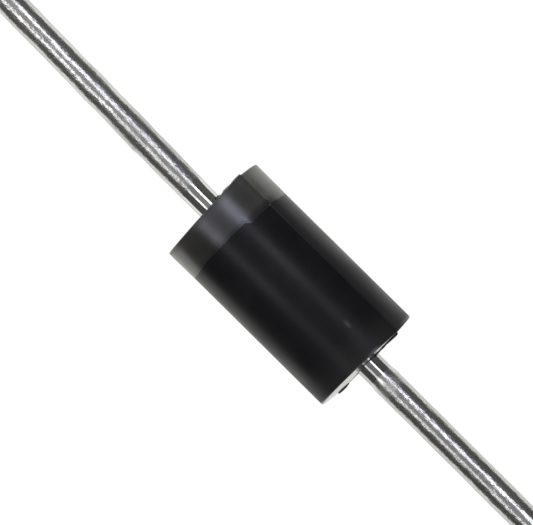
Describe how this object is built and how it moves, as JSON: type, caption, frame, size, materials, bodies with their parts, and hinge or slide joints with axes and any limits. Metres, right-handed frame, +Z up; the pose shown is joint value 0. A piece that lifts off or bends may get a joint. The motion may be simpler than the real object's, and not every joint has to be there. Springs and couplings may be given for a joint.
{
  "type": "tvs diode",
  "caption": "Axial-lead transient suppressor diode: a black moulded epoxy cylinder with a dark grey cathode band and long tinned wire leads, soldered across a line to clamp surges.",
  "frame": {"origin": "middle of the moulded body, on the axis of the leads", "axes": "+X along the leads toward the banded cathode end, +Z up with the body lying on its side, as the picture looks down on it"},
  "size_m": [0.0602, 0.0053, 0.0053],
  "materials": {
    "epoxy": "black moulded epoxy, fine satin texture",
    "band_ink": "dark grey printed ink, semi-gloss",
    "tinned_copper": "tinned copper wire, bright with dull streaks",
    "silicon": "lapped silicon, semi-gloss",
    "solder": "dull solder",
    "silicone": "white silicone rubber, satin"
  },
  "bodies": {
    "root": {"moulded_body": "epoxy", "cathode_band": "band_ink", "cathode_lead": "tinned_copper", "anode_lead": "tinned_copper", "silicon_die": "silicon", "cathode_solder": "solder", "anode_solder": "solder", "junction_coating": "silicone"}
  },
  "joints": []
}
